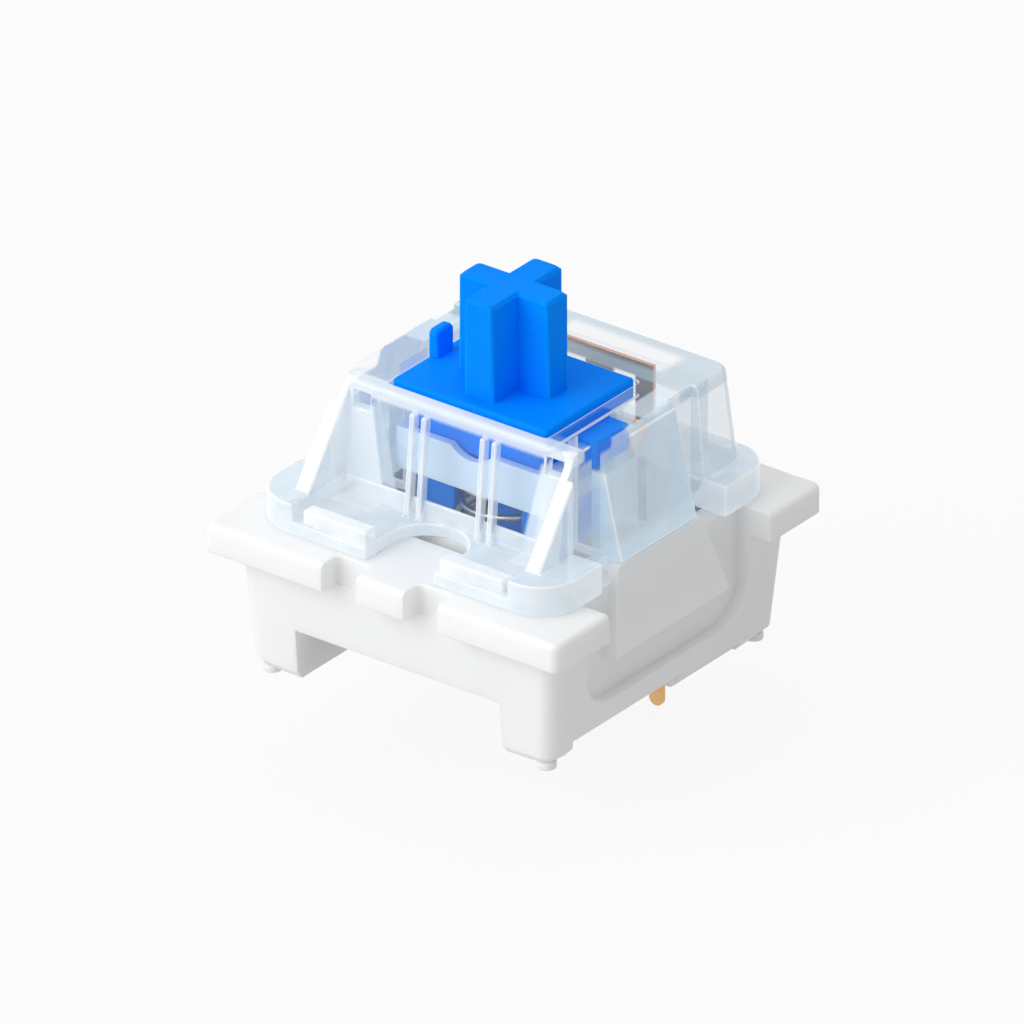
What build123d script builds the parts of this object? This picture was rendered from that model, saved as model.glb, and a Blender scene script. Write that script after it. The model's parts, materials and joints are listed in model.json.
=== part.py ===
# Mechanical keyboard switch with a clicking sleeve, in millimetres.
# Frame: +Z up towards the keycap; z = 0 is the plane where the flange sits on the mounting plate.
# The light window is on the -Y side and the contacts are on the +Y side.
import os
from math import radians, tan

from build123d import *

# --- interfaces to the keyboard -------------------------------------------------------------
plate_cutout = 14.0          # square hole in the mounting plate
plate_thickness = 1.5        # plate gripped between the flange and the side catches
board_depth = 4.9            # plate seat down to the circuit board
pin_length = 3.4             # solder pins below the circuit board
leaf_pin_x = 2.54            # solder pin of the leaf terminal
leaf_pin_y = 5.08
fixed_pin_x = -3.81          # solder pin of the fixed terminal
fixed_pin_y = 2.54
light_y = -5.08              # centre of the light in front of the slider
stem_travel = 4.0
jacket_travel = 0.9          # sleeve's own slide on the stem

# --- clearances -----------------------------------------------------------------------------
plate_gap = 0.03             # body to plate cutout, each side
slide_gap = 0.1              # plastic sliding past plastic, each side
rod_gap = 0.06               # guide rod in its bore, radial
seat_gap = 0.03              # pieces that rest on each other
press_gap = 0.01             # terminals pressed into the base
touch_gap = 0.05             # leaf against the cam, when open
leaf_roof_gap = 0.15         # leaf below the roof
foot_stop_gap = 0.45         # stem's feet above the well floor at full travel
rod_stop_gap = 0.1           # guide rod above the bottom of its bore at full travel
tube_stop_gap = 0.1          # stem's block above the guide tube at full travel
sleeve_stop_gap = 0.12       # sleeve below the deck and the wings at its upper stop

# --- bottom housing -------------------------------------------------------------------------
flange_size = 15.6
flange_thickness = 1.1
flange_corner = 0.35
flange_edge = 0.22           # soft upper edge of the flange
body_corner = 0.6
body_depth = 4.65            # plate seat to the corner feet
body_draft = 4.4             # degrees that each side leans in
foot_chamfer = 0.35
corner_foot = 2.1            # width of the corner feet
skirt_lift = 0.37            # the sides end this far above the corner feet
skirt_reach = 0.7
side_lift = 0.6              # the clip sides end higher between these two places
side_reach = 1.25
side_front = -5.3
side_back = 0.9
floor_thickness = 0.75
side_wall = 1.45             # wall beside the plate clips
contact_wall = 1.5           # wall behind the contacts
well_corner = 0.4
partition_y = -3.05          # slider side of the wall in front of the light
partition = 0.55
light_wall = 0.95            # wall in front of the hollow below the light
light_ledge = 0.7            # ledge over that hollow, where the light stands
light_slot = 0.55            # slot behind the ledge, for the light's legs
recess_roof = 2.6            # plate seat down to where the recess opens to the front
pocket_half = 4.7            # recess round each plate clip
pocket_depth = 3.2
pocket_corner = 1.5
pocket_floor = 0.67          # floor of that recess, inside the plate cutout
clip_top_half = 2.45
clip_catch_half = 3.35
clip_rise = 0.5              # clip above the flange
clip_lean = 0.55             # clip's top edge inside the plate cutout
clip_catch = 0.05            # catch edge beyond the plate cutout
clip_root = 0.3              # clip sunk in the wall
notch_near = 1.05            # opener notches in the flange, from the centre line
notch_width = 1.5
notch_depth = 0.95
notch_corner = 0.3
boss_radius = 2.0            # centre boss
boss_end = 5.6               # plate seat to its end
bore_end = 5.05              # plate seat to the bottom of the guide bore
guide_tube_wall = 0.65
nub_radius = 0.35
nub_inset = 0.55

# --- top housing ----------------------------------------------------------------------------
cover_top = 5.9              # plate seat to the roof
cover_half_x = 5.4           # half width of the roof
cover_front = -3.2           # roof's edge above the light
cover_back = 5.7             # roof's edge above the contacts
flare_side = 0.35            # base beyond the roof, on each side
flare_front = 0.4
flare_back = 0.45
cover_corner = 0.7
cover_edge = 0.2
roof_thickness = 0.55
cover_wall = 0.75
rim_wall = 0.4               # thin roof rim above the light
back_wall = 0.5
rim_size = 13.3              # square rim at the cover's base
rim_height = 1.2
rim_corner = 1.6
rim_side_near = 3.6          # clip sides keep only the rim's corners beyond this
guide_half = 2.2             # guide block on each clip side
guide_top = 0.1              # block beyond the roof's edge
guide_foot = 1.05            # and at its lower end
guide_gap = 0.05             # block above the plate clip
groove_depth = 0.3           # grooves beside the guide blocks
channel_wall = 0.5           # inner ribs that guide the stem's wings
gusset = 0.65                # corner gussets beside the light
gusset_reach = 3.3
rib_x = 1.55                 # paired ribs on the wall behind the light
rib_pitch = 0.52
rib_width = 0.22
rib_depth = 0.35
rib_start = 0.4              # ribs end below the roof
light_floor = 0.5            # cover's floor round the light
light_hole = 1.5
latch_x = 3.0                # latch tabs on the light and contact sides
latch_width = 2.8
latch_thickness = 0.6
latch_inset = 0.2
latch_reach = 0.65           # tab below the flange's top
latch_rise = 1.0             # and above it
window_x = 4.25              # small core windows under the roof
window_width = 0.75
window_height = 0.65
window_drop = 0.4

# --- stem -----------------------------------------------------------------------------------
deck_x = 6.8                 # top plate of the stem
deck_y = 5.2
deck_top = 6.06
deck_thickness = 0.86
deck_corner = 0.15
cross_x = 4.0                # keycap cross
cross_y = 4.1
cross_arm_x = 1.17           # thickness of the arm along X
cross_arm_y = 1.29
cross_top = 9.85
cross_chamfer = 0.12
tab_width = 1.0              # upright tab at the deck's edge
tab_thickness = 0.42
tab_corner = 0.25
tab_top = 7.15
arm_outer = 2.75             # two arms below the deck
arm_half_y = 1.5
block_drop = 1.5             # block below the deck that the spring presses on
foot_ledge = 0.45            # feet beyond the arms, under the sleeve
foot_height = 1.95
wing_half_y = 1.0
wing_height = 1.05
wing_gap = 0.1               # wings below the roof
wing_side_gap = 0.25         # wings to the cover's side walls
rod_radius = 0.8

# --- return spring --------------------------------------------------------------------------
wire = 0.25
wire_sides = 8               # round wire drawn with flats, which keeps its mesh light
spring_diameter = 3.9
spring_turns = 9
end_turns = 1.25             # closed turns at each end
end_gap = 0.01               # between the closed turns
spring_well_gap = 0.12       # spring inside the arms, radial

# --- click jacket ---------------------------------------------------------------------------
jacket_x = 6.6
jacket_y = 5.0
jacket_wall_y = 0.35
scallop = 1.2                # rounded notch in the front wall
scallop_rise = 0.8           # its centre above the sleeve
cam_x = 2.0                  # cam legs that move the leaf
cam_width = 0.8
cam_low = 1.2
cam_drop = 0.25              # legs start below the sleeve's top
cam_reach = 0.75             # legs beyond the sleeve
nose_reach = 0.4             # nose beyond the legs
nose_height = 1.4

# --- contacts -------------------------------------------------------------------------------
sheet = 0.2                  # terminal sheet
leaf_sheet = 0.15
pin_width = 0.6
carrier_left = -1.7          # carrier plate of the leaf terminal
carrier_right = 3.3
carrier_top = -0.45
blade_y = 4.3                # fixed blade
blade_width = 1.0
blade_top = 3.8
strip_top = -1.15            # low strip of the fixed terminal
leaf_foot = 0.75             # height of the leaf's welded foot
leaf_jog = 0.45
leaf_span = 4.8
leaf_bridge = 0.6
prong_width = 0.8
bump_z = 2.15
bump_half = 0.75
contact_z = 3.35
bar_length = 0.8
bar_width = 0.4
bar_chamfer = 0.08
fixed_bar_height = 0.15
contact_gap = 0.3            # between the open contact bars

# --- sizes that follow ----------------------------------------------------------------------
body_half = plate_cutout / 2 - plate_gap
body_low_half = body_half - body_depth * tan(radians(body_draft))
well_floor = -body_depth + floor_thickness
well_half_x = body_half - side_wall
well_back = body_half - contact_wall
skirt_half = body_low_half - corner_foot
clip_z = flange_thickness + clip_rise
pocket_x = plate_cutout / 2 - pocket_floor
clip_top_x = plate_cutout / 2 - clip_lean
clip_catch_x = plate_cutout / 2 + clip_catch
nub_place = body_low_half - nub_inset
rim_low = flange_thickness
roof_under = cover_top - roof_thickness
base_half_x = cover_half_x + flare_side
base_front = cover_front - flare_front
base_back = cover_back + flare_back
cavity_half_x = cover_half_x - cover_wall
cavity_front = cover_front + rim_wall
cavity_back = cover_back - back_wall
gusset_inner = cover_half_x - gusset
guide_low = clip_z + guide_gap
latch_y = rim_size / 2 - latch_inset - latch_thickness / 2
latch_low = rim_low - latch_reach
deck_under = deck_top - deck_thickness
block_low = deck_under - block_drop
guide_tube_top = block_low - stem_travel - tube_stop_gap
foot_outer = arm_outer + foot_ledge
stem_low = well_floor + stem_travel + foot_stop_gap
rod_end = -bore_end + stem_travel + rod_stop_gap
foot_top = stem_low + foot_height
wing_top = roof_under - wing_gap
wing_low = wing_top - wing_height
wing_outer = cavity_half_x - wing_side_gap
channel_half = wing_half_y + slide_gap
channel_inner = max(jacket_x, deck_x) / 2 + 2 * slide_gap
jacket_inner_x = 2 * (arm_outer + slide_gap)
jacket_inner_y = jacket_y - 2 * jacket_wall_y
block_half_y = jacket_inner_y / 2 - slide_gap
jacket_low = foot_top + seat_gap
jacket_top = deck_under - sleeve_stop_gap - jacket_travel
jacket_sill_top = wing_low - sleeve_stop_gap - jacket_travel
bore_radius = rod_radius + rod_gap
guide_tube_radius = bore_radius + guide_tube_wall
spring_low = well_floor + seat_gap
spring_high = block_low - seat_gap
coil_radius = (spring_diameter - wire) / 2
spring_well = spring_diameter / 2 + spring_well_gap
pin_tip = -board_depth - pin_length
carrier_y = leaf_pin_y
leaf_foot_y = carrier_y - sheet / 2 - seat_gap - leaf_sheet
leaf_y = leaf_foot_y + sheet
leaf_top = roof_under - leaf_roof_gap
nose_y = jacket_y / 2 + cam_reach + nose_reach

os.makedirs("parts", exist_ok=True)


def save(piece, name):
    """Label a finished piece and write its STEP file."""
    piece.part.label = name
    export_step(piece.part, f"parts/{name}.step")
    print(f"{name}: {piece.part.volume:.3f} mm3")


def both(value):
    """The two mirrored places of a feature."""
    return (-value, value)


# === bottom housing =========================================================================
with BuildPart() as bottom_housing:
    # tapered body with chamfered feet
    with BuildSketch(Plane.XY):
        RectangleRounded(2 * body_half, 2 * body_half, body_corner)
    with BuildSketch(Plane.XY.offset(-body_depth)):
        RectangleRounded(2 * body_low_half, 2 * body_low_half, body_corner)
    loft()
    chamfer(bottom_housing.faces().sort_by(Axis.Z)[0].edges(), foot_chamfer)
    # flange that rests on the plate
    with BuildSketch(Plane.XY):
        RectangleRounded(flange_size, flange_size, flange_corner)
    extrude(amount=flange_thickness)
    fillet(bottom_housing.faces().sort_by(Axis.Z)[-1].edges(), flange_edge)
    # well for the slider and the contacts
    with BuildSketch(Plane.XY.offset(well_floor)):
        with Locations((0, (well_back + partition_y) / 2)):
            RectangleRounded(2 * well_half_x, well_back - partition_y, well_corner)
    extrude(amount=flange_thickness - well_floor, mode=Mode.SUBTRACT)
    # hollow under the light's ledge, the slot behind the ledge, and the recess that opens to the front
    hollow_back = partition_y - partition
    hollow_front = light_wall - body_half
    with BuildSketch(Plane.XY.offset(-recess_roof)):
        with Locations((0, (hollow_back + hollow_front) / 2)):
            Rectangle(2 * skirt_half, hollow_back - hollow_front)
    extrude(amount=flange_thickness + recess_roof - light_ledge, mode=Mode.SUBTRACT)
    with BuildSketch(Plane.XY.offset(flange_thickness - light_ledge)):
        with Locations((0, hollow_back - light_slot / 2)):
            Rectangle(2 * light_hole, light_slot)
    extrude(amount=light_ledge, mode=Mode.SUBTRACT)
    with BuildSketch(Plane.XY.offset(-body_depth)):
        with Locations((0, (hollow_back - flange_size / 2) / 2)):
            Rectangle(2 * skirt_half, flange_size / 2 + hollow_back)
    extrude(amount=body_depth - recess_roof, mode=Mode.SUBTRACT)
    # raised skirts between the corner feet on the other three sides
    with BuildSketch(Plane.XY.offset(-body_depth)):
        for x in both(body_half):
            with Locations((x, 0)):
                Rectangle(2 * skirt_reach, 2 * skirt_half)
        with Locations((0, body_half)):
            Rectangle(2 * skirt_half, 2 * skirt_reach)
    extrude(amount=skirt_lift, mode=Mode.SUBTRACT)
    with BuildSketch(Plane.XY.offset(-body_depth)):
        for x in both(body_half):
            with Locations((x, (side_front + side_back) / 2)):
                Rectangle(2 * side_reach, side_back - side_front)
    extrude(amount=side_lift, mode=Mode.SUBTRACT)
    # recess round each plate clip
    for side in (1, -1):
        clip_plane = Plane((side * pocket_x, 0, 0), x_dir=(0, side, 0), z_dir=(side, 0, 0))
        with BuildSketch(clip_plane) as pocket:
            with Locations((0, (flange_thickness - pocket_depth) / 2)):
                Rectangle(2 * pocket_half, flange_thickness + pocket_depth)
            fillet(pocket.vertices().group_by(Axis.Y)[0], pocket_corner)
        extrude(amount=flange_size / 2 - pocket_x, mode=Mode.SUBTRACT)
    # sloping plate clip in each recess
    clip_inner = pocket_x - clip_root
    for side in (1, -1):
        with BuildSketch(Plane.XY.offset(clip_z)):
            with Locations((side * (clip_inner + clip_top_x) / 2, 0)):
                Rectangle(clip_top_x - clip_inner, 2 * clip_top_half)
        with BuildSketch(Plane.XY.offset(-plate_thickness)):
            with Locations((side * (clip_inner + clip_catch_x) / 2, 0)):
                Rectangle(clip_catch_x - clip_inner, 2 * clip_catch_half)
        loft()
    # opener notches in the flange
    with BuildSketch(Plane.XY):
        for x in both(notch_near + notch_width / 2):
            for y in both(flange_size / 2):
                with Locations((x, y)):
                    RectangleRounded(notch_width, 2 * notch_depth, notch_corner)
    extrude(amount=flange_thickness, mode=Mode.SUBTRACT)
    # pockets for the latch tabs
    with BuildSketch(Plane.XY.offset(latch_low - slide_gap)):
        for x in both(latch_x):
            for y in both(latch_y):
                with Locations((x, y)):
                    Rectangle(latch_width + 2 * slide_gap, latch_thickness + 2 * slide_gap)
    extrude(amount=latch_reach + slide_gap, mode=Mode.SUBTRACT)
    # centre boss, and the guide tube that stands inside the spring
    with BuildSketch(Plane.XY.offset(-boss_end)):
        Circle(boss_radius)
    extrude(amount=boss_end + well_floor)
    with BuildSketch(Plane.XY.offset(well_floor)):
        Circle(guide_tube_radius)
    extrude(amount=guide_tube_top - well_floor)
    with BuildSketch(Plane.XY.offset(-bore_end)):
        Circle(bore_radius)
    extrude(amount=bore_end + guide_tube_top, mode=Mode.SUBTRACT)
    # nubs that touch the circuit board
    with BuildSketch(Plane.XY.offset(-board_depth)):
        with GridLocations(2 * nub_place, 2 * nub_place, 2, 2):
            Circle(nub_radius)
    extrude(amount=board_depth - body_depth)
    # slots for the solder pins
    with BuildSketch(Plane.XY.offset(-body_depth)):
        with Locations((leaf_pin_x, leaf_pin_y)):
            Rectangle(pin_width + 2 * press_gap, sheet + 2 * press_gap)
        with Locations((fixed_pin_x, fixed_pin_y)):
            Rectangle(sheet + 2 * press_gap, pin_width + 2 * press_gap)
    extrude(amount=floor_thickness, mode=Mode.SUBTRACT)
save(bottom_housing, "bottom_housing")

# === top housing ============================================================================
with BuildPart() as top_housing:
    # sloping cover
    with BuildSketch(Plane.XY.offset(rim_low)):
        with Locations((0, (base_back + base_front) / 2)):
            RectangleRounded(2 * base_half_x, base_back - base_front, cover_corner)
    with BuildSketch(Plane.XY.offset(cover_top)):
        with Locations((0, (cover_back + cover_front) / 2)):
            RectangleRounded(2 * cover_half_x, cover_back - cover_front, cover_corner)
    loft()
    fillet(top_housing.faces().sort_by(Axis.Z)[-1].edges(), cover_edge)
    # square rim at the base, kept only at the corners of the clip sides
    with BuildSketch(Plane.XY.offset(rim_low)):
        RectangleRounded(rim_size, rim_size, rim_corner)
        for x in both(rim_size / 2):
            with Locations((x, 0)):
                Rectangle(rim_size - 2 * base_half_x, 2 * rim_side_near, mode=Mode.SUBTRACT)
    extrude(amount=rim_height)
    # tray for the light, open above and to the front
    with BuildSketch(Plane.XY.offset(rim_low + light_floor)):
        with Locations((0, (base_front - rim_size / 2) / 2)):
            Rectangle(2 * gusset_inner, rim_size / 2 + base_front)
    extrude(amount=rim_height - light_floor, mode=Mode.SUBTRACT)
    # corner gussets
    for side in both((gusset_inner + cover_half_x) / 2):
        with BuildSketch(Plane.YZ.offset(side)):
            with BuildLine():
                Polyline(
                    (cover_front + gusset, cover_top - cover_edge),
                    (cover_front, cover_top - cover_edge),
                    (cover_front - gusset_reach, rim_low),
                    (cover_front + gusset, rim_low),
                    close=True)
            make_face()
        extrude(amount=gusset / 2, both=True)
    # sloping guide block on each clip side
    for side in (1, -1):
        with BuildSketch(Plane.XZ):
            with BuildLine():
                Polyline(
                    (side * cavity_half_x, cover_top - cover_edge),
                    (side * (cover_half_x + guide_top), cover_top - cover_edge),
                    (side * (cover_half_x + guide_foot), guide_low),
                    (side * cavity_half_x, guide_low),
                    close=True)
            make_face()
        extrude(amount=guide_half, both=True)
    # grooves beside the guide blocks
    groove_x = cover_half_x - groove_depth
    with BuildSketch(Plane.XY.offset(rim_low)):
        for x in both(groove_x + guide_foot):
            for y in both((guide_half + rim_side_near) / 2):
                with Locations((x, y)):
                    Rectangle(2 * guide_foot, rim_side_near - guide_half)
    extrude(amount=cover_top - rim_low, mode=Mode.SUBTRACT)
    # paired ribs down the wall behind the light
    for pair in both(rib_x):
        for rib in both(rib_pitch / 2):
            with BuildSketch(Plane.YZ.offset(pair + rib)):
                with BuildLine():
                    Polyline(
                        (cavity_front, rim_low),
                        (base_front - rib_depth, rim_low),
                        (cover_front - rib_depth, cover_top - rib_start),
                        (cavity_front, cover_top - rib_start),
                        close=True)
                make_face()
            extrude(amount=rib_width / 2, both=True)
    # inner space
    with BuildSketch(Plane.XY.offset(rim_low)):
        with Locations((0, (cavity_back + cavity_front) / 2)):
            Rectangle(2 * cavity_half_x, cavity_back - cavity_front)
    extrude(amount=roof_under - rim_low, mode=Mode.SUBTRACT)
    # inner ribs that guide the stem's wings
    with BuildSketch(Plane.XY.offset(rim_low)):
        for x in both((cavity_half_x + channel_inner) / 2):
            for y in both(channel_half + channel_wall / 2):
                with Locations((x, y)):
                    Rectangle(cavity_half_x - channel_inner, channel_wall)
    extrude(amount=roof_under - rim_low)
    # hole in the roof for the stem's deck
    with BuildSketch(Plane.XY.offset(roof_under)):
        RectangleRounded(deck_x + 2 * slide_gap, deck_y + 2 * slide_gap, deck_corner)
    extrude(amount=roof_thickness, mode=Mode.SUBTRACT)
    # opening for the light
    with BuildSketch(Plane.XY.offset(rim_low)):
        with Locations((0, light_y)):
            Circle(light_hole)
        with Locations((0, (light_y - rim_size / 2) / 2)):
            Rectangle(2 * light_hole, rim_size / 2 + light_y)
    extrude(amount=light_floor, mode=Mode.SUBTRACT)
    # latch tabs
    with BuildSketch(Plane.XY.offset(latch_low)):
        for x in both(latch_x):
            for y in both(latch_y):
                with Locations((x, y)):
                    Rectangle(latch_width, latch_thickness)
    extrude(amount=latch_reach + latch_rise)
    # core windows under the roof
    with BuildSketch(Plane.XZ.offset(-cavity_front)):
        for x in both(window_x):
            with Locations((x, cover_top - window_drop - window_height / 2)):
                Rectangle(window_width, window_height)
    extrude(amount=rim_wall + flare_front, mode=Mode.SUBTRACT)
save(top_housing, "top_housing")

# === stem ===================================================================================
with BuildPart() as stem:
    # deck
    with BuildSketch(Plane.XY.offset(deck_under)):
        RectangleRounded(deck_x, deck_y, deck_corner)
    extrude(amount=deck_thickness)
    # keycap cross
    with BuildSketch(Plane.XY.offset(deck_top)):
        Rectangle(cross_x, cross_arm_x)
        Rectangle(cross_arm_y, cross_y)
    extrude(amount=cross_top - deck_top)
    chamfer(stem.faces().sort_by(Axis.Z)[-1].edges(), cross_chamfer)
    # upright tab at one edge of the deck
    with BuildSketch(Plane.YZ.offset(-deck_x / 2)) as tab:
        with Locations((0, deck_top)):
            Rectangle(tab_width, tab_top - deck_top, align=(Align.CENTER, Align.MIN))
        fillet(tab.vertices().group_by(Axis.Y)[-1], tab_corner)
    extrude(amount=tab_thickness)
    # block, arms, feet and wings, hollowed for the spring
    with BuildSketch(Plane.XY.offset(block_low)):
        Rectangle(2 * arm_outer, 2 * block_half_y)
    extrude(amount=block_drop)
    with BuildSketch(Plane.XY.offset(foot_top)):
        Rectangle(2 * arm_outer, 2 * arm_half_y)
    extrude(amount=deck_under - foot_top)
    with BuildSketch(Plane.XY.offset(stem_low)):
        Rectangle(2 * foot_outer, 2 * arm_half_y)
    extrude(amount=foot_height)
    with BuildSketch(Plane.XY.offset(wing_low)):
        Rectangle(2 * wing_outer, 2 * wing_half_y)
    extrude(amount=wing_height)
    with BuildSketch(Plane.XY.offset(stem_low)):
        Circle(spring_well)
    extrude(amount=block_low - stem_low, mode=Mode.SUBTRACT)
    # guide rod
    with BuildSketch(Plane.XY.offset(rod_end)):
        Circle(rod_radius)
    extrude(amount=deck_under - rod_end)
save(stem, "stem")

# === click jacket ===========================================================================
with BuildPart() as click_jacket:
    with BuildSketch(Plane.XY.offset(jacket_low)):
        Rectangle(jacket_x, jacket_y)
        Rectangle(jacket_inner_x, jacket_inner_y, mode=Mode.SUBTRACT)
    extrude(amount=jacket_top - jacket_low)
    # the side walls stay low under the stem's wings
    with BuildSketch(Plane.XY.offset(jacket_sill_top)):
        Rectangle(jacket_x, 2 * channel_half)
    extrude(amount=jacket_top - jacket_sill_top, mode=Mode.SUBTRACT)
    # rounded notch in the front wall
    with BuildSketch(Plane.XZ.offset(jacket_inner_y / 2)):
        with Locations((0, jacket_top + scallop_rise)):
            Circle(scallop)
    extrude(amount=jacket_wall_y, mode=Mode.SUBTRACT)
    # two cam legs with a nose that holds the leaf off
    for x in both(cam_x):
        with BuildSketch(Plane.YZ.offset(x)):
            with BuildLine():
                Polyline(
                    (jacket_inner_y / 2, jacket_top - cam_drop),
                    (jacket_y / 2 + cam_reach, jacket_top - cam_drop),
                    (jacket_y / 2 + cam_reach, cam_low + nose_height + nose_reach),
                    (nose_y, cam_low + nose_height),
                    (nose_y, cam_low + nose_reach),
                    (jacket_y / 2 + cam_reach, cam_low),
                    (jacket_inner_y / 2, cam_low),
                    close=True)
            make_face()
        extrude(amount=cam_width / 2, both=True)
save(click_jacket, "click_jacket")

# === return spring ==========================================================================
end_pitch = wire + end_gap
end_height = end_turns * end_pitch
active_height = spring_high - spring_low - wire - 2 * end_height
coils = ((end_pitch, end_height, 0, 0),
         (active_height / spring_turns, active_height, end_turns, end_height),
         (end_pitch, end_height, end_turns + spring_turns, end_height + active_height))
with BuildPart() as return_spring:
    # closed turns, open turns and closed turns, each from where the last one ends
    for pitch, height, turns_before, start in coils:
        helix = Helix(pitch, height, coil_radius, mode=Mode.PRIVATE)
        helix = helix.rotate(Axis.Z, 360 * turns_before)
        coil = Wire([helix.moved(Location((0, 0, spring_low + wire / 2 + start)))])
        with BuildSketch(Plane(origin=coil @ 0, z_dir=coil % 0)):
            RegularPolygon(wire / 2, wire_sides)
        sweep(path=coil)
save(return_spring, "return_spring")

# === leaf terminal ==========================================================================
with BuildPart() as leaf_terminal:
    with BuildSketch(Plane.XZ.offset(-carrier_y)):
        with BuildLine():
            Polyline(
                (carrier_left, well_floor + seat_gap),
                (carrier_right, well_floor + seat_gap),
                (carrier_right, carrier_top),
                (carrier_left, carrier_top),
                close=True)
        make_face()
        with Locations((leaf_pin_x, pin_tip + pin_width / 2)):
            Circle(pin_width / 2)
            Rectangle(pin_width, well_floor - pin_tip, align=(Align.CENTER, Align.MIN))
    extrude(amount=sheet / 2, both=True)
save(leaf_terminal, "leaf_terminal")

# === fixed terminal =========================================================================
with BuildPart() as fixed_terminal:
    # pin and side leg
    with BuildSketch(Plane.YZ.offset(fixed_pin_x)):
        with BuildLine():
            Polyline(
                (fixed_pin_y - pin_width / 2, well_floor + seat_gap),
                (blade_y + sheet / 2, well_floor + seat_gap),
                (blade_y + sheet / 2, strip_top),
                (fixed_pin_y - pin_width / 2, strip_top),
                close=True)
        make_face()
        with Locations((fixed_pin_y, pin_tip + pin_width / 2)):
            Circle(pin_width / 2)
            Rectangle(pin_width, well_floor - pin_tip, align=(Align.CENTER, Align.MIN))
    extrude(amount=sheet / 2, both=True)
    # strip across the floor and the upright blade
    with BuildSketch(Plane.XZ.offset(-blade_y)):
        with BuildLine():
            Polyline(
                (fixed_pin_x - sheet / 2, well_floor + seat_gap),
                (blade_width / 2, well_floor + seat_gap),
                (blade_width / 2, blade_top),
                (-blade_width / 2, blade_top),
                (-blade_width / 2, strip_top),
                (fixed_pin_x - sheet / 2, strip_top),
                close=True)
        make_face()
    extrude(amount=sheet / 2, both=True)
save(fixed_terminal, "fixed_terminal")

# === contact leaf ===========================================================================
with BuildPart() as contact_leaf:
    # folded strip: welded foot, jog and upright
    with BuildSketch(Plane.YZ):
        with BuildLine():
            Polyline(
                (leaf_foot_y, carrier_top - leaf_foot),
                (leaf_foot_y + leaf_sheet, carrier_top - leaf_foot),
                (leaf_foot_y + leaf_sheet, carrier_top),
                (leaf_y + leaf_sheet, carrier_top + leaf_jog),
                (leaf_y + leaf_sheet, leaf_top),
                (leaf_y, leaf_top),
                (leaf_y, carrier_top + leaf_jog),
                (leaf_foot_y, carrier_top),
                close=True)
        make_face()
    extrude(amount=leaf_span / 2, both=True)
    # openings between the prongs, round the contact's tongue, and beside the foot
    prong_inner = leaf_span / 2 - prong_width
    tongue_half = blade_width / 2 + slide_gap
    tongue_low = contact_z - bar_length
    frame_low = carrier_top + leaf_jog + leaf_bridge / 2
    frame_high = leaf_top - leaf_bridge
    with BuildSketch(Plane.XZ.offset(-leaf_y - leaf_sheet)):
        with BuildLine():
            Polyline(
                (-prong_inner, frame_low),
                (prong_inner, frame_low),
                (prong_inner, frame_high),
                (tongue_half, frame_high),
                (tongue_half, tongue_low),
                (-tongue_half, tongue_low),
                (-tongue_half, frame_high),
                (-prong_inner, frame_high),
                close=True)
        make_face()
        for x in both(leaf_span / 2):
            with Locations((x, carrier_top - leaf_foot)):
                Rectangle(2 * prong_width, leaf_foot + leaf_jog, align=(Align.CENTER, Align.MIN))
        for x in both(cam_x):
            with Locations((x, bump_z)):
                Rectangle(2 * prong_width, 2 * bump_half)
    extrude(amount=leaf_y - leaf_foot_y + leaf_sheet, mode=Mode.SUBTRACT)
    # bent bumps that ride on the cam legs
    bump_tip = nose_y + touch_gap
    for x in both(leaf_span / 2 - prong_width / 2):
        with BuildSketch(Plane.YZ.offset(x)):
            with BuildLine():
                Polyline(
                    (leaf_y, bump_z + bump_half),
                    (bump_tip, bump_z + leaf_sheet / 2),
                    (bump_tip, bump_z - leaf_sheet / 2),
                    (leaf_y, bump_z - bump_half),
                    (leaf_y + leaf_sheet, bump_z - bump_half),
                    (bump_tip + 2 * leaf_sheet, bump_z),
                    (leaf_y + leaf_sheet, bump_z + bump_half),
                    close=True)
            make_face()
        extrude(amount=prong_width / 2, both=True)
save(contact_leaf, "contact_leaf")

# === contact bars, crossed ==================================================================
with BuildPart() as fixed_contact_point:
    with BuildSketch(Plane.XZ.offset(-blade_y - sheet / 2)):
        with Locations((0, contact_z)):
            Rectangle(bar_length, bar_width)
    extrude(amount=-fixed_bar_height)
    chamfer(fixed_contact_point.faces().sort_by(Axis.Y)[-1].edges(), bar_chamfer)
save(fixed_contact_point, "fixed_contact_point")

with BuildPart() as moving_contact_point:
    with BuildSketch(Plane.XZ.offset(-leaf_y)):
        with Locations((0, contact_z)):
            Rectangle(bar_width, bar_length)
    extrude(amount=leaf_y - blade_y - sheet / 2 - fixed_bar_height - contact_gap)
    chamfer(moving_contact_point.faces().sort_by(Axis.Y)[0].edges(), bar_chamfer)
save(moving_contact_point, "moving_contact_point")
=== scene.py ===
# %% [markdown]
# # A clicking key switch, dressed piece by piece
# The solid model gives every piece its size, its place and the body it moves with.
# This notebook gives those pieces their surfaces: soft moulded edges, clear and milky plastic,
# a wound spring and stamped metal.
# It works in metres, in the solid model's own frame, so nothing has to be fitted by eye.

# %% Load the solid model
import json
from math import cos, pi, radians, sin

import bmesh
import bpy
from mathutils import Matrix, Vector


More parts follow.
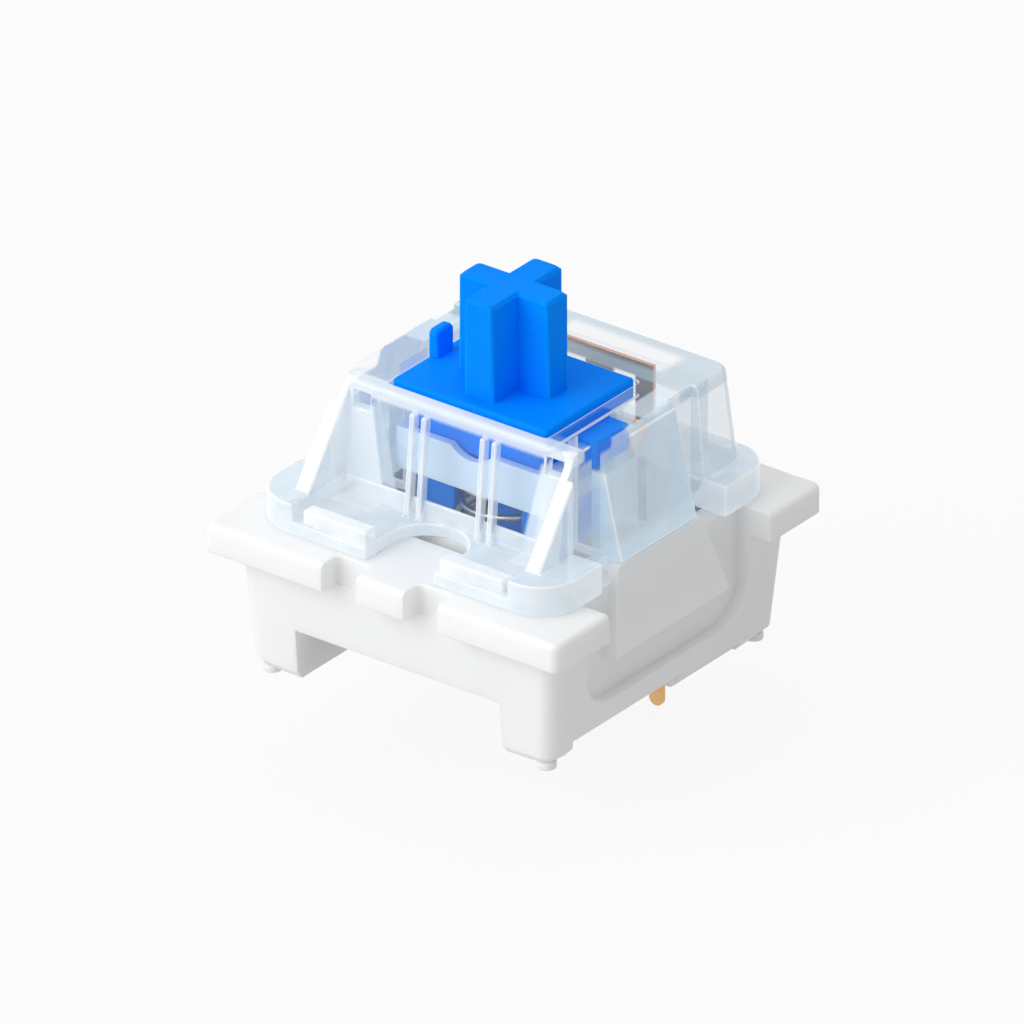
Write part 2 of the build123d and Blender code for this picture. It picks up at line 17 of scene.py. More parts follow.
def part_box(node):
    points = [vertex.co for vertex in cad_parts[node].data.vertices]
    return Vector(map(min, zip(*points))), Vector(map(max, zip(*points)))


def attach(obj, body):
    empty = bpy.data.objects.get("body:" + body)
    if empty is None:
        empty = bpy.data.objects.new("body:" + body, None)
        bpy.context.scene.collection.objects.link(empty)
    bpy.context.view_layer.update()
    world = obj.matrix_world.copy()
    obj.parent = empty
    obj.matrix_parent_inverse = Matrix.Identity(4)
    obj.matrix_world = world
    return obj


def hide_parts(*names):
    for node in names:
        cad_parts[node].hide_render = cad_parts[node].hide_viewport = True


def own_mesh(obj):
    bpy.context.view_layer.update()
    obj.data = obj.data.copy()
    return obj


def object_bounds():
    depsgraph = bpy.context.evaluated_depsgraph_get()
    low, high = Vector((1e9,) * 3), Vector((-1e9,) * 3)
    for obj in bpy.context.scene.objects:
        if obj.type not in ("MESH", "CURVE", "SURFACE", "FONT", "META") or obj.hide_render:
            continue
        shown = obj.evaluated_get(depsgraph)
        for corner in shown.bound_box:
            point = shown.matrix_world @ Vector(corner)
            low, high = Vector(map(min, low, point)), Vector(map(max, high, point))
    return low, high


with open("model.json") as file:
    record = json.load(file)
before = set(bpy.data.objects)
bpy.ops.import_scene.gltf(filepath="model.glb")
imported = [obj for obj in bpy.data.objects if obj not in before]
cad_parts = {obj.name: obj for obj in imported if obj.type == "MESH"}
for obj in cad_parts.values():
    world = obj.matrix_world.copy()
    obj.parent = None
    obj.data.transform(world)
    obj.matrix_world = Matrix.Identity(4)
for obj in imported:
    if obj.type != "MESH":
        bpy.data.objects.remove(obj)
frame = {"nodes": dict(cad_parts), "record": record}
solid_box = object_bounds()
mm = 0.001


def in_mm(lengths):
    """Lengths in millimetres, rounded for reading."""
    return [round(length / mm, 2) for length in lengths]


print("solid model from", in_mm(solid_box[0]), "to", in_mm(solid_box[1]), "mm")

# %% [markdown]
# ## The camera
# The switch is looked at from its front right corner and from above.
# A long lens far away keeps the parallel edges of a small thing parallel.
# The switch stands on the sensor almost at its true size, so the lens is about as long as the
# camera is far away.
# The camera's axes are worked out from two angles, which is plainer than turning it by hand.

# %% Place the camera
turn, lift = radians(37.13), radians(27.74)
distance = 1.146
magnification = 0.998
back = Vector((sin(turn) * cos(lift), -cos(turn) * cos(lift), sin(lift)))
right = Vector((cos(turn), sin(turn), 0))
aim = Vector((0, 0, 0.73 * mm)) - 0.05 * mm * right

camera_data = bpy.data.cameras.new("camera")
camera_data.sensor_width = 36
camera_data.lens = magnification * distance / mm
camera_data.clip_start = 0.1
camera_data.clip_end = 10
camera = bpy.data.objects.new("camera", camera_data)
camera.matrix_world = Matrix.Translation(aim + distance * back) @ Matrix(
    (right, back.cross(right), back)).transposed().to_4x4()
bpy.context.scene.collection.objects.link(camera)
bpy.context.scene.camera = camera
print("camera", round(distance, 3), "m away with a lens of", round(camera_data.lens), "mm")

# %% [markdown]
# ## Calculating with sockets
# A procedural material is a formula over the surface, and it reads best when written as one.
# Wrapping a socket in a small class lets Python's own operators add the Math nodes.
# Everything that is not plain arithmetic goes through one method, node.


# %% A socket that Python can calculate with
class Field:
    """A value that nodes work out: an output socket in a node tree."""

    def __init__(self, tree, socket=None):
        self.tree = tree
        self.socket = socket

    def node(self, kind, settings=None, inputs=None, output=0):
        """A new node of that kind, its settings made first, and one of its outputs."""
        made = self.tree.nodes.new(kind)
        for name, value in (settings or {}).items():
            if name == "stops":
                ramp = made.color_ramp.elements
                while len(ramp) < len(value):
                    ramp.new(1)
                for element, (position, colour) in zip(ramp, value):
                    element.position = position
                    element.color = colour
            else:
                setattr(made, name, value)
        for name, value in (inputs or {}).items():
            if isinstance(value, Field):
                self.tree.links.new(value.socket, made.inputs[name])
            else:
                made.inputs[name].default_value = value
        return Field(self.tree, made.outputs[output])

    def math(self, operation, first, second):
        """One Math node on this socket's tree."""
        return self.node("ShaderNodeMath", {"operation": operation}, {0: first, 1: second})

    def __add__(self, other):
        return self.math("ADD", self, other)

    def __radd__(self, other):
        return self.math("ADD", other, self)

    def __sub__(self, other):
        return self.math("SUBTRACT", self, other)

    def __rsub__(self, other):
        return self.math("SUBTRACT", other, self)

    def __mul__(self, other):
        return self.math("MULTIPLY", self, other)

    def __rmul__(self, other):
        return self.math("MULTIPLY", other, self)


def noise(place, scale, detail, stretch=(1, 1, 1)):
    """Noise about 0.5, with scale features to the metre, drawn out by stretch."""
    drawn = place.node("ShaderNodeMapping", None, {"Vector": place, "Scale": stretch})
    return place.node(
        "ShaderNodeTexNoise", None, {"Vector": drawn, "Scale": scale, "Detail": detail})


def blend_colours(amount, low, high):
    """From colour low to colour high as amount goes from 0 to 1."""
    factor, first, second, result = 0, 6, 7, 2
    return amount.node(
        "ShaderNodeMix", {"data_type": "RGBA"},
        {factor: amount, first: (*low, 1), second: (*high, 1)}, result)


def new_material(name):
    """A material with a Principled shader: the material, its shader, and Object coordinates."""
    material = bpy.data.materials.new(name)
    material.use_nodes = True
    tree = material.node_tree
    shader = tree.nodes["Principled BSDF"]
    place = Field(tree).node("ShaderNodeTexCoord", None, None, "Object")
    return material, shader, place


def connect(shader, **fields):
    """Feed fields to the shader's sockets, named with underscores for spaces."""
    for name, field in fields.items():
        field.tree.links.new(field.socket, shader.inputs[name.replace("_", " ")])


def bumped(height, strength, depth):
    """The surface normal for a height field that is depth metres deep."""
    return height.node(
        "ShaderNodeBump", None, {"Strength": strength, "Distance": depth, "Height": height})


print("sockets can be added, subtracted and multiplied")

# %% [markdown]
# ## Moulded plastics
# The base is milky and a little translucent, the slider and the sleeve are slippery bearing
# plastic, and the mould leaves a faint spark-eroded grain on all of them.
# Broad noise varies the colour, fine noise the gloss and the grain, so no face is one flat tone.
# Noise is scaled in features to the metre: 260 makes clouds of 4 mm and 9000 a grain of 0.1 mm.


# %% Milky, blue and white plastic
def moulded_plastic(name, low, high, roughness, grain_depth, glow,
                    gloss=0.45, reach=(1.0, 0.95, 0.9), painted_glow=0.0):
    """A plastic between two colours, how much and how far light glows within it, and how bright a
    painted glow it gives out.
    """
    material, shader, place = new_material(name)
    cloud = noise(place, 260, 2)
    grain = noise(place, 9000, 4)
    flow = noise(place, 900, 3, (1, 1, 0.25))
    colour = blend_colours(cloud, low, high)
    connect(
        shader,
        Base_Color=colour,
        Emission_Color=colour,
        Roughness=roughness - 0.06 + 0.08 * grain + 0.06 * flow,
        Normal=bumped(0.7 * grain + 0.3 * flow, 0.5, grain_depth))
    shader.inputs["Emission Strength"].default_value = painted_glow
    shader.inputs["Specular IOR Level"].default_value = gloss
    shader.inputs["Subsurface Weight"].default_value = glow
    shader.inputs["Subsurface Radius"].default_value = reach
    shader.inputs["Subsurface Scale"].default_value = 1.2 * mm
    return material


milky_plastic = moulded_plastic(
    "milky_plastic", (0.86, 0.87, 0.875), (0.90, 0.90, 0.895),
    roughness=0.40, grain_depth=4e-6, glow=0.5)
# the blue gives out a faint painted glow: painted light that lifts its shaded sides
blue_plastic = moulded_plastic(
    "blue_plastic", (0.0, 0.21, 0.88), (0.0, 0.27, 0.98),
    roughness=0.52, grain_depth=5e-6, glow=0.3, gloss=0.03, reach=(0.02, 0.35, 1.0), painted_glow=0.08)
sleeve_plastic = moulded_plastic(
    "sleeve_plastic", (0.66, 0.82, 1.0), (0.78, 0.90, 1.0),
    roughness=0.34, grain_depth=3e-6, glow=0.2)
print("plastics:", milky_plastic.name, blue_plastic.name, sleeve_plastic.name)

# %% [markdown]
# ## Clear plastic
# The cover is polycarbonate. Its flat walls are so clear that you hardly see them, while edges,
# ribs and frosted blocks catch the light that runs along inside the plastic and look white: the
# blocks are frosted, and the white of the edges and ribs is a painted highlight.
# Traced as pure glass, the thick corners would trap the light and turn black. So the shader is
# partly see-through instead: milkiness says how much of a face is seen, and
# paleness whether it looks smoky or white. Both are painted on the faces later, and here they are
# changed in a few places, given in millimetres: a frosted front rim and posts, a veiled roof with
# a painted shade at its back, and clear windows over the slider's wings and over the contact leaf.
# A fifth of the brightness is a painted glow, given out for the light that comes through from
# behind.
# Low down, on the shaded rim, the glow is stronger and the lit colour darker: more painted light.


# %% Clear plastic
def scaled(vector, amount):
    """A colour or a place multiplied by an amount."""
    return vector.node(
        "ShaderNodeVectorMath", {"operation": "SCALE"}, {"Vector": vector, "Scale": amount})


def between(value, low, high, softness=0.12):
    """1 where a value in millimetres is between low and high, with soft ends."""
    inside = value.math("MINIMUM", value - low, high - value)
    return inside.node("ShaderNodeMapRange", {"interpolation_type": "SMOOTHSTEP"}, {
        "Value": inside, "From Min": -softness, "From Max": softness, "To Min": 0.0, "To Max": 1.0})


def clear_moulding(name):
    """A clear plastic seen as far as the faces' milkiness and painted highlight, and their
    paleness, say.
    """
    material, shader, place = new_material(name)
    haze = noise(place, 900, 3)
    flow = noise(place, 650, 2, (1, 1, 0.22))
    relief = bumped(noise(place, 420, 2, (1, 1, 0.4)), 0.25, 5e-6)
    milkiness = place.node("ShaderNodeAttribute", {"attribute_name": "milkiness"}, None, "Fac")
    paleness = place.node("ShaderNodeAttribute", {"attribute_name": "paleness"}, None, "Fac")
    grazing = place.node("ShaderNodeLayerWeight", None, {"Blend": 0.3, "Normal": relief}, "Facing")
    place_mm = scaled(place, 1 / mm)
    x, y, z = (
        place_mm.node("ShaderNodeSeparateXYZ", None, {"Vector": place_mm}, axis) for axis in "XYZ")
    across = x.math("ABSOLUTE", x, 0.0)

    # places on the cover, each 1 inside and 0 outside
    roof = between(z, 5.4, 7.0)
    front_rim = between(y, -4.0, -2.6) * roof
    back_roof = between(y, 2.9, 5.6) * roof
    side_roof = between(across, 4.3, 5.3) * between(y, 0.5, 2.9) * roof
    post = between(across + 0.2 * (5.2 - z), 3.7, 8.0) * between(across, 0.0, 4.85)
    post = post * between(y, -4.5, -2.7)
    post = post * between(z, 1.0, 5.2)
    beside_deck = between(across, 3.65, 5.15) * between(y, -2.3, 0.4) * roof
    wing_window = between(y, -2.3, -0.45) * between(z, 4.95, 6.4) * between(across, 4.4, 7.0)
    leaf_window = between(y, 3.7, 5.1, 0.25) * between(x, -1.2, 3.7, 0.25) * roof
    walls = between(z, 0.0, 5.0)
    # the low part of the cover, where a stronger painted glow lights the shaded rim
    glowing_low_down = between(z, -2.0, 2.3)

    # how much is seen: what is painted, faint flow streaks, frosted places, and clear windows
    streaks = flow.node("ShaderNodeMapRange", {"interpolation_type": "SMOOTHSTEP"}, {
        "Value": flow, "From Min": 0.6, "From Max": 0.76, "To Min": 0.0, "To Max": 0.12})
    frosted = front_rim.math("MAXIMUM", front_rim, post)
    seen = milkiness * (0.85 + 0.3 * haze) + streaks * walls
    seen = seen * (1 - 0.95 * wing_window.math("MAXIMUM", wing_window, beside_deck))
    seen = seen.math("MAXIMUM", seen, 0.7 * frosted)
    seen = seen.math("MAXIMUM", seen, 0.6 * back_roof.math("MAXIMUM", back_roof, side_roof))
    seen = seen * (1 - 0.85 * leaf_window)

    # how white it is
    pale = paleness.math("MAXIMUM", paleness * (0.85 + 0.3 * haze), 0.88 * frosted)
    pale = pale.math("MAXIMUM", pale, 0.7 * side_roof)
    # the back of the roof is painted darker: a painted shade for the darker surroundings it
    # refracts
    pale = pale * (1 - 0.5 * back_roof)
    tint = pale.node("ShaderNodeValToRGB", {"stops": (
        (0.0, (0.34, 0.50, 0.62, 1)), (0.5, (0.62, 0.80, 0.94, 1)),
        (0.8, (0.82, 0.92, 1.0, 1)), (1.0, (0.97, 0.99, 1.0, 1)))}, {0: pale})
    connect(
        shader,
        # a painted glow, stronger low down where the rim lies in shade
        Base_Color=scaled(tint, 0.76 - 0.15 * glowing_low_down),
        Emission_Color=scaled(tint, 1.0 + 0.7 * glowing_low_down),
        Roughness=0.10 + 0.12 * haze,
        # faces seen at a grazing angle show more of the pale colour: a painted reflection
        Alpha=seen + 0.15 * grazing * grazing * grazing,
        Normal=relief)
    shader.inputs["IOR"].default_value = 1.58
    shader.inputs["Emission Strength"].default_value = 0.2
    shader.inputs["Subsurface Weight"].default_value = 0.15
    shader.inputs["Subsurface Radius"].default_value = (0.9, 1.0, 1.0)
    shader.inputs["Subsurface Scale"].default_value = 2.0 * mm
    return material


clear_plastic = clear_moulding("clear_plastic")
print("plastic:", clear_plastic.name)

# %% [markdown]
# ## Metals
# Spring wire is drawn and leaf stock is rolled, so both carry fine streaks one way.
# Noise that is stretched along the metal's own direction draws them, in the gloss and the relief.


# %% Drawn, rolled and stamped metal
def worked_metal(name, low, high, roughness, streaks, depth):
    """A metal between two colours, its gloss and relief drawn out in streaks."""
    material, shader, place = new_material(name)
    tarnish = noise(place, 600, 3)
    streak = noise(place, 6000, 4, streaks)
    connect(
        shader,
        Base_Color=blend_colours(tarnish, low, high),
        Roughness=roughness - 0.05 + 0.12 * streak + 0.06 * tarnish,
        Normal=bumped(streak, 0.4, depth))
    shader.inputs["Metallic"].default_value = 1.0
    return material


spring_wire = worked_metal(
    "spring_wire", (0.50, 0.48, 0.45), (0.64, 0.62, 0.59),
    roughness=0.26, streaks=(1, 1, 1), depth=3e-6)
rolled_copper = worked_metal(
    "rolled_copper", (0.62, 0.32, 0.19), (0.80, 0.46, 0.30),
    roughness=0.27, streaks=(0.1, 1, 1), depth=3e-6)
stamped_brass = worked_metal(
    "stamped_brass", (0.60, 0.35, 0.15), (0.78, 0.50, 0.24),
    roughness=0.32, streaks=(1, 1, 0.12), depth=4e-6)
inlaid_gold = worked_metal(
    "inlaid_gold", (0.80, 0.58, 0.24), (0.92, 0.70, 0.34),
    roughness=0.2, streaks=(1, 1, 1), depth=2e-6)
print("metals:", spring_wire.name, rolled_copper.name, stamped_brass.name, inlaid_gold.name)

# %% [markdown]
# ## Soft edges
# No moulded or stamped edge is perfectly sharp: its small radius is what catches the light.
# A solid's mesh is loose triangles, so a copy is merged, its flat faces are made whole again
# and cut into well shaped triangles, and a narrow bevel rounds the sharp edges that stand out.
# A face with a hole is cut before the bevel, since a bevel would make its outline cross itself.


# %% Merge a solid's mesh and mark the edges to round
def merged_mesh(node, sharper_than):
    """A solid's mesh with whole faces, and its outward edges over that many degrees marked."""
    same_place, same_plane = 0.001 * mm, radians(0.5)
    mesh = frame["nodes"][node].data.copy()
    joined = bmesh.new()
    joined.from_mesh(mesh)
    bmesh.ops.remove_doubles(joined, verts=joined.verts, dist=same_place)
    bmesh.ops.dissolve_limit(
        joined, angle_limit=same_plane, verts=joined.verts, edges=joined.edges)
    many_sided = [face for face in joined.faces if len(face.verts) > 4]
    bmesh.ops.triangulate(joined, faces=many_sided, ngon_method="BEAUTY")
    weight = joined.edges.layers.float.new("bevel_weight_edge")
    for line in joined.edges:
        if len(line.link_faces) == 2 and line.calc_face_angle_signed() > radians(sharper_than):
            line[weight] = 1.0
    joined.to_mesh(mesh)
    joined.free()
    mesh.shade_smooth()
    return mesh


print("a solid's flat faces can be made whole and its outward edges marked")

# %% [markdown]
# ## Flat faces that look flat
# A smooth shaded mesh blends the light over every face that meets at a corner.
# So each flat or gently curved face takes its corners' directions from its like neighbours only,
# and the narrow bevel faces between them carry the whole turn from one face to the next.


# %% Shade with like neighbours
def shade_with_like_neighbours(mesh):
    """Give each flat face the normals of the faces beside it that face almost the same way."""
    alike, turned_away = 0.9, 0.3
    normals = [corner.vector.copy() for corner in mesh.corner_normals]
    flat_at = {}
    for face in mesh.polygons:
        for vertex in face.vertices:
            if not face.material_index:
                flat_at.setdefault(vertex, []).append(face)
    for face in mesh.polygons:
        for corner, vertex in zip(face.loop_indices, face.vertices):
            if not face.material_index:
                neighbours = (f for f in flat_at[vertex] if f.normal.dot(face.normal) > alike)
                weighted = (f.area * f.normal for f in neighbours)
                normals[corner] = sum(weighted, Vector()).normalized()
            elif normals[corner].dot(face.normal) < turned_away:
                normals[corner] = face.normal.copy()
    for face in mesh.polygons:
        face.material_index = 0
    mesh.normals_split_custom_set(normals)


print("bevel faces keep their own normals")

# %% [markdown]
# ## From solid to dressed piece
# Each piece stands for one solid of the model, so it takes that solid's body, and the solid is
# hidden.
# It is parented to an empty for that body, and nothing has to be placed by hand.
# The bevel puts its faces in a second material slot, which is how they are told apart.


# %% Finish a piece and round its edges
def finish_piece(piece, node, material):
    """Give a piece its material and its body, and hide the solid it stands for."""
    piece.data.materials.clear()
    piece.data.materials.append(material)
    bodies = frame["record"]["behaviour"]["bodies"]
    body = next(name for name, nodes in bodies.items() if node in nodes)
    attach(piece, body)
    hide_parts(node)
    print(piece.name, "rides on", body, "with", len(piece.data.polygons), "faces")


def applied(piece):
    """A piece's mesh with its modifiers applied."""
    return bpy.data.meshes.new_from_object(
        piece.evaluated_get(bpy.context.evaluated_depsgraph_get()))


def softened(node, name, edge, material, sharper_than=50):
    """A copy of a solid with its edges rounded by edge, standing for it and riding on its body."""
    piece = bpy.data.objects.new(name, merged_mesh(node, sharper_than))
    bpy.context.scene.collection.objects.link(piece)
    piece.data.materials.clear()
    piece.data.materials.append(material)
    piece.data.materials.append(material)
    rounding = piece.modifiers.new("rounding", "BEVEL")
    rounding.width = edge
    rounding.segments = 2
    rounding.limit_method = "WEIGHT"
    rounding.use_clamp_overlap = False
    rounding.loop_slide = False
    rounding.harden_normals = True
    rounding.material = 1
    piece.data = applied(piece)
    piece.modifiers.clear()
    rounded = piece.data.attributes.new("rounded", "FLOAT", "FACE")
    for face in piece.data.polygons:
        rounded.data[face.index].value = face.material_index
    shade_with_like_neighbours(piece.data)
    finish_piece(piece, node, material)
    return piece


print(len(frame["nodes"]), "solids to dress:", ", ".join(frame["nodes"]))

# %% [markdown]
# ## The two housings
# The milky base carries everything and snaps into the plate, and the clear cover clips down on it.
# Both are mouldings with many ribs and pockets, so they come straight from their solids.

# %% Base and cover
softened("bottom_housing", "milky_base", 0.04 * mm, milky_plastic)
cover = softened("top_housing", "clear_cover", 0.07 * mm, clear_plastic, 60)

# %% [markdown]
# ## How milky and how highlighted each face of the cover is
# The blocks over the plate clips keep the mould's grain, the ribs, corner braces and latch tabs
# gather light, and a rounded edge gathers the most: that gathered light is a painted highlight.
# The flat walls stay clear.
# The cover is one moulding, so a face's kind is told by its place, and the first test that fits
# counts. The bounds are in millimetres from the switch's middle and from its plate seat.


# %% Tell the cover's faces apart
def kind_of_face(corners, facing, rounded):
    """Which kind of face of the cover it is, from its corners and its facing."""
    inner = min(abs(corner.x) for corner in corners) / mm
    back, front = (pick(corner.y for corner in corners) / mm for pick in (max, min))
    top = max(corner.z for corner in corners) / mm
    centre = sum(corners, Vector()) / len(corners)
    x, y, z = abs(centre.x) / mm, centre.y / mm, centre.z / mm
    if rounded:
        return "rounded edge"
    if x > 5.2 and abs(y) < 2.25 and z > 1.6:
        return "guide block"
    if abs(facing.y) < 0.5 and 3.4 < x < 4.7 and z < 5.0:
        return "inner rib"
    if top < 2.6:
        if abs(x - 3.0) < 1.45 and abs(abs(y) - 6.15) < 0.4:
            return "latch tab"
        return "rim, top" if facing.z > 0.7 else "rim, side"
    if back < -2.9 and inner > 4.5:
        return "gusset, side" if abs(facing.x) > 0.7 else "gusset, front"
    if y < -3.2 and min(abs(x - 1.29), abs(x - 1.81)) < 0.13:
        return "front rib"
    if x > 5.0 and front > 2.2:
        return "rear wall"
    if z > 5.6 and facing.z > 0.5:
        return "roof"
    if abs(facing.y) > 0.5 and back < -2.0:
        return "front wall"
    return "other wall"


behind_the_deck, upward = Vector((0, 4, 6)) * mm, Vector((0, 0, 1))
print("a face behind the deck is of the", kind_of_face([behind_the_deck], upward, 0))

# %% [markdown]
# ## Painting the faces
# A short table gives each kind of face its milkiness and its paleness, from 0 to 1;
# on edges, ribs, braces and latch tabs they paint a highlight.
# Both are written on the faces as attributes, which the clear plastic's shader reads.

# %% Paint milkiness and paleness
looks = {
    # rounded edges, latch tabs, ribs and braces are pale and well seen: a painted highlight
    "rounded edge": (0.8, 0.95),
    "guide block": (0.8, 0.6),
    "inner rib": (0.6, 0.85),
    "latch tab": (0.85, 0.97),
    "rim, top": (0.6, 0.75),
    "rim, side": (0.8, 0.85),
    "gusset, side": (0.5, 0.6),
    "gusset, front": (0.82, 1.0),
    "front rib": (0.6, 0.85),
    "rear wall": (0.35, 0.35),
    "roof": (0.2, 0.3),
    # the front wall's paler veil is painted light over the shaded slider behind it
    "front wall": (0.06, 0.45),
    "other wall": (0.02, 0.2)}
milky_and_highlit = cover.data.attributes.new("milkiness", "FLOAT", "FACE")
pale = cover.data.attributes.new("paleness", "FLOAT", "FACE")
rounded = cover.data.attributes["rounded"]
for face in cover.data.polygons:
    i = face.index
    corners = [cover.data.vertices[v].co for v in face.vertices]
    kind = kind_of_face(corners, face.normal, rounded.data[i].value)
    milky_and_highlit.data[i].value, pale.data[i].value = looks[kind]
print("milkiness from", min(m.value for m in milky_and_highlit.data), "to", max(m.value for m in milky_and_highlit.data))

# %% [markdown]
# ## The slider and its sleeve
# The blue slider carries the keycap cross. The white sleeve hangs loose on it, is left behind
# for a moment on the way down, and then snaps after it: that is the click.

# %% Slider and sleeve
softened("stem", "blue_slider", 0.12 * mm, blue_plastic)
softened("click_jacket", "click_sleeve", 0.04 * mm, sleeve_plastic)

# %% [markdown]
# ## The return spring
# A compression spring is one wire on a helix, wound close at both ends so that it stands square.
# The rule is simple, so Geometry Nodes wind it: a straight line is bent round and round, and its
# height grows slowly in the closed turns and fast in the open ones.


# %% Wind a coil in Geometry Nodes
def coil_tree():
    """A node group that winds a wire, with its sizes as named inputs."""
    points, sides, tightness = 560, 12, 1.04
    tree = bpy.data.node_groups.new("wound_coil", "GeometryNodeTree")
    tree.interface.new_socket("Geometry", in_out="OUTPUT", socket_type="NodeSocketGeometry")
    for name in ("Low", "High", "Outer Radius", "Wire", "Open Turns", "Closed Turns"):
        tree.interface.new_socket(name, in_out="INPUT", socket_type="NodeSocketFloat")
    tree.interface.new_socket("Material", in_out="INPUT", socket_type="NodeSocketMaterial")
    sizes = tree.nodes.new("NodeGroupInput").outputs
    low, high, outer, wire, open_turns, closed_turns, material = (
        Field(tree, sizes[i]) for i in range(7))

    # how high the wire is after so many turns
    given = Field(tree)
    coil_radius = outer - 0.5 * wire
    turns = open_turns + 2 * closed_turns
    length = given.node("GeometryNodeSplineParameter", None, None, "Factor")
    turned = turns * length
    past_foot = given.math("MAXIMUM", turned - closed_turns, 0.0)
    in_open = given.math("MINIMUM", past_foot, open_turns)
    close_pitch = tightness * wire
    open_rise = high - low - wire - 2 * (closed_turns * close_pitch)
    open_pitch = given.math("DIVIDE", open_rise, open_turns)
    height = low + 0.5 * wire + close_pitch * (turned - in_open) + in_open * open_pitch

    # a line bent to that path, with a round section
    angle = 2 * pi * turned
    spot = given.node("ShaderNodeCombineXYZ", None, {
        "X": coil_radius * given.math("COSINE", angle, 0.0),
        "Y": coil_radius * given.math("SINE", angle, 0.0),
        "Z": height})
    line = given.node("GeometryNodeCurvePrimitiveLine")
    line = given.node("GeometryNodeResampleCurve", None, {"Curve": line, "Count": points})
    line = given.node("GeometryNodeSetPosition", None, {"Geometry": line, "Position": spot})
    section = given.node(
        "GeometryNodeCurvePrimitiveCircle", None, {"Resolution": sides, "Radius": 0.5 * wire})
    tube = given.node(
        "GeometryNodeCurveToMesh", None,
        {"Curve": line, "Profile Curve": section, "Fill Caps": True})
    tube = given.node("GeometryNodeSetShadeSmooth", None, {"Geometry": tube, "Shade Smooth": True})
    tube = given.node("GeometryNodeRealizeInstances", None, {"Geometry": tube})
    tube = given.node("GeometryNodeSetMaterial", None, {"Geometry": tube, "Material": material})
    ending = tree.nodes.new("NodeGroupOutput")
    tree.links.new(tube.socket, ending.inputs[0])
    return tree


winding_rule = coil_tree()
print(winding_rule.name, "has", len(winding_rule.nodes), "nodes")

# %% [markdown]
# ## Winding it to the solid's size
# The foot, the top and the outer radius come from the solid's box, and the wire and the turns
# are those of the solid. A modifier carries the node group, and its result becomes the mesh.


# %% Wind the spring
def set_inputs(modifier, **values):
    """Set a modifier's inputs by their sockets' identifiers."""
    for socket in modifier.node_group.interface.items_tree:
        if socket.in_out == "INPUT":
            modifier[socket.identifier] = values[socket.name.lower().replace(" ", "_")]


spring_low, spring_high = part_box("return_spring")
widest = 1.95 * mm
spring = bpy.data.objects.new("wound_spring", bpy.data.meshes.new("wound_spring"))
bpy.context.scene.collection.objects.link(spring)
winding = spring.modifiers.new("winding", "NODES")
winding.node_group = winding_rule
set_inputs(
    winding,
    low=spring_low[2], high=spring_high[2],
    outer_radius=min(spring_high[0], spring_high[1], widest),
    wire=0.25 * mm, open_turns=9.0, closed_turns=1.25, material=spring_wire)
spring.data = applied(spring)
spring.modifiers.clear()
finish_piece(spring, "return_spring", spring_wire)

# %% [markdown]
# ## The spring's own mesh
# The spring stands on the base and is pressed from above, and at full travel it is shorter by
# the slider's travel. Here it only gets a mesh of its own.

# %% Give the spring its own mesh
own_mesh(spring)

# %% [markdown]
# ## The contacts
# Two stamped terminals stand in the base, and a thin copper leaf is welded to one of them.
# The sleeve's nose holds the leaf off until the slider goes down.
# Sheet metal has hardly any edge radius, so the bevel here is a few hundredths of a millimetre.

# %% Terminals, leaf and contact bars
softened("leaf_terminal", "outer_terminal", 0.03 * mm, stamped_brass)
softened("fixed_terminal", "inner_terminal", 0.03 * mm, stamped_brass)
softened("contact_leaf", "spring_leaf", 0.02 * mm, rolled_copper)
softened("fixed_contact_point", "fixed_bar", 0.015 * mm, inlaid_gold)
softened("moving_contact_point", "moving_bar", 0.015 * mm, inlaid_gold)

# %% [markdown]
# ## The floor
# The switch stands on the tips of its pins over a pale floor that keeps its shadow.
# Seen by the camera, by gloss or through clear plastic, floor and surroundings are white,
# while their light on the object stays at a plain level. The Light Path node tells them apart.


# %% Pale floor
def white_to_the_eye(tree):
    """1 for rays that see the surroundings, 0 for rays that gather their light."""
    ray = Field(tree).node("ShaderNodeLightPath")
    seen = ray.socket.node.outputs
    straight, glossy, through = (
        Field(tree, seen[name])
        for name in ("Is Camera Ray", "Is Glossy Ray", "Is Transmission Ray"))
    return straight.math("MAXIMUM", straight, straight.math("MAXIMUM", glossy, through))


def end_with(tree, kind, field):
    """Give a node tree its output node and feed the field to its surface."""
    tree.links.new(field.socket, tree.nodes.new(kind).inputs["Surface"])


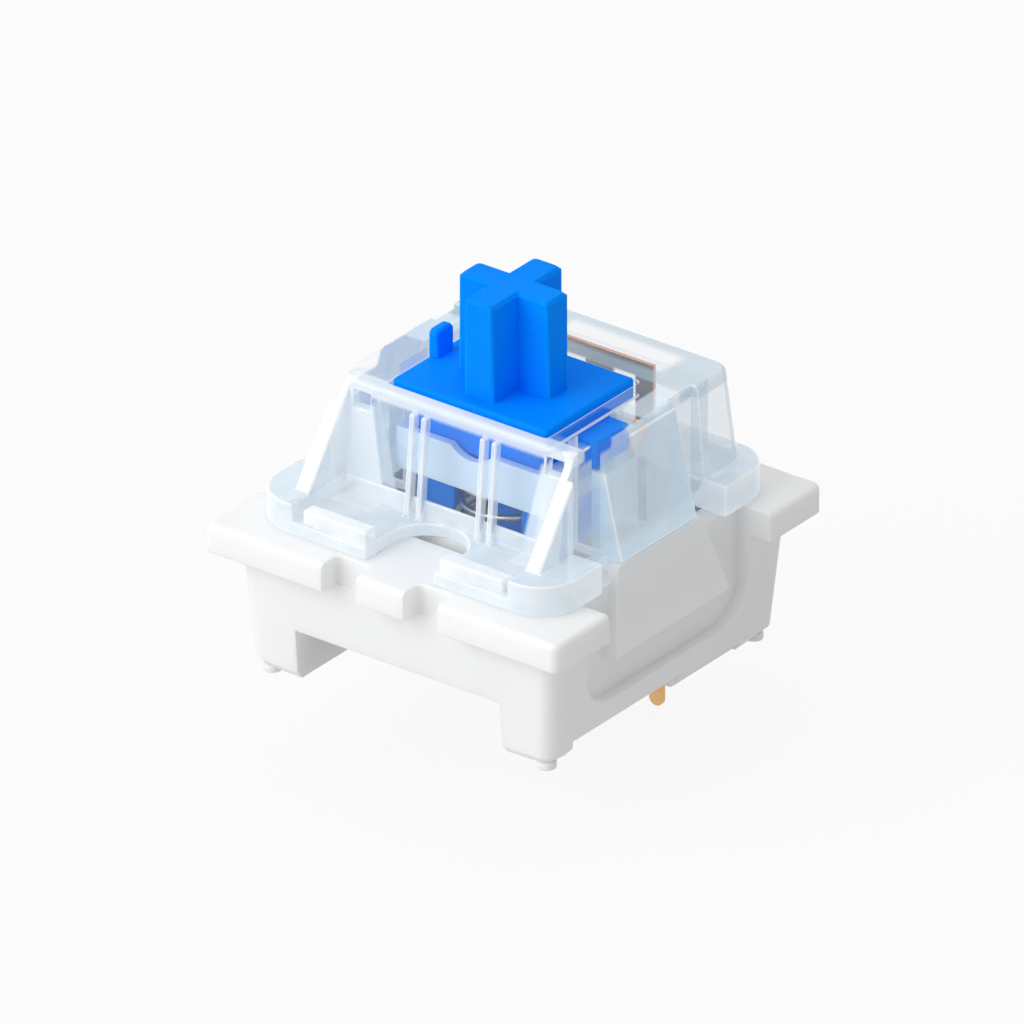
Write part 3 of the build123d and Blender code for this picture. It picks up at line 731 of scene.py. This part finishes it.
floor_material = bpy.data.materials.new("pale_floor")
floor_material.use_nodes = True
floor_tree = floor_material.node_tree
floor_tree.nodes.clear()
matte = Field(floor_tree).node("ShaderNodeBsdfDiffuse", None, {"Color": (0.72, 0.72, 0.72, 1)})
white = Field(floor_tree).node(
    "ShaderNodeEmission", None, {"Color": (1, 1, 1, 1), "Strength": 1.0})
whiteness = 0.9 * white_to_the_eye(floor_tree)
floor_mix = matte.node("ShaderNodeMixShader", None, {0: whiteness, 1: matte, 2: white})
end_with(floor_tree, "ShaderNodeOutputMaterial", floor_mix)

floor_mesh = bpy.data.meshes.new("floor")
half, ground = 1.5, solid_box[0][2]
square = [(-half, -half), (half, -half), (half, half), (-half, half)]
floor_mesh.from_pydata([(x, y, ground) for x, y in square], [], [(0, 1, 2, 3)])
floor_mesh.materials.append(floor_material)
floor = bpy.data.objects.new("floor", floor_mesh)
bpy.context.scene.collection.objects.link(floor)
print("floor at", round(ground / mm, 2), "mm")

# %% [markdown]
# ## The surroundings
# A clear cover shows what is round it, so a white room suits it better than a dark studio.
# The world is half as bright for the light it gives as for the eye.

# %% White surroundings
world = bpy.data.worlds.new("surroundings")
bpy.context.scene.world = world
world.use_nodes = True
world_tree = world.node_tree
world_tree.nodes.clear()
around, seen_white = (
    Field(world_tree).node(
        "ShaderNodeBackground", None, {"Color": (1, 1, 1, 1), "Strength": strength})
    for strength in (0.5, 1.0))
whiteness = white_to_the_eye(world_tree)
world_mix = around.node("ShaderNodeMixShader", None, {0: whiteness, 1: around, 2: seen_white})
end_with(world_tree, "ShaderNodeOutputWorld", world_mix)
print("surroundings:", world.name)

# %% [markdown]
# ## The lamps
# Two large soft lamps give the sides their different tones. The key lamp lights the front from
# the left, and a weaker one lights the tops. A larger lamp has a softer shadow.


# %% Soft lamps
def soft_lamp(name, direction, reach, size, power):
    """A square area lamp that looks at the switch from a direction, reach metres away."""
    light = bpy.data.lights.new(name, "AREA")
    light.size = size
    light.energy = power
    lamp = bpy.data.objects.new(name, light)
    towards = Vector(direction).normalized()
    lamp.location = reach * towards
    lamp.rotation_euler = towards.to_track_quat("Z", "Y").to_euler()
    bpy.context.scene.collection.objects.link(lamp)
    print(name, "lamp of", power, "W")


soft_lamp("key", direction=(-0.5, -0.95, 0.6), reach=0.5, size=0.45, power=1.75)
soft_lamp("top", direction=(-0.1, 0.1, 1.0), reach=0.5, size=0.5, power=0.65)

# %% [markdown]
# ## Plain viewing
# The Standard view shows each colour about as it is written.

# %% Finish
bpy.context.scene.view_settings.view_transform = "Standard"
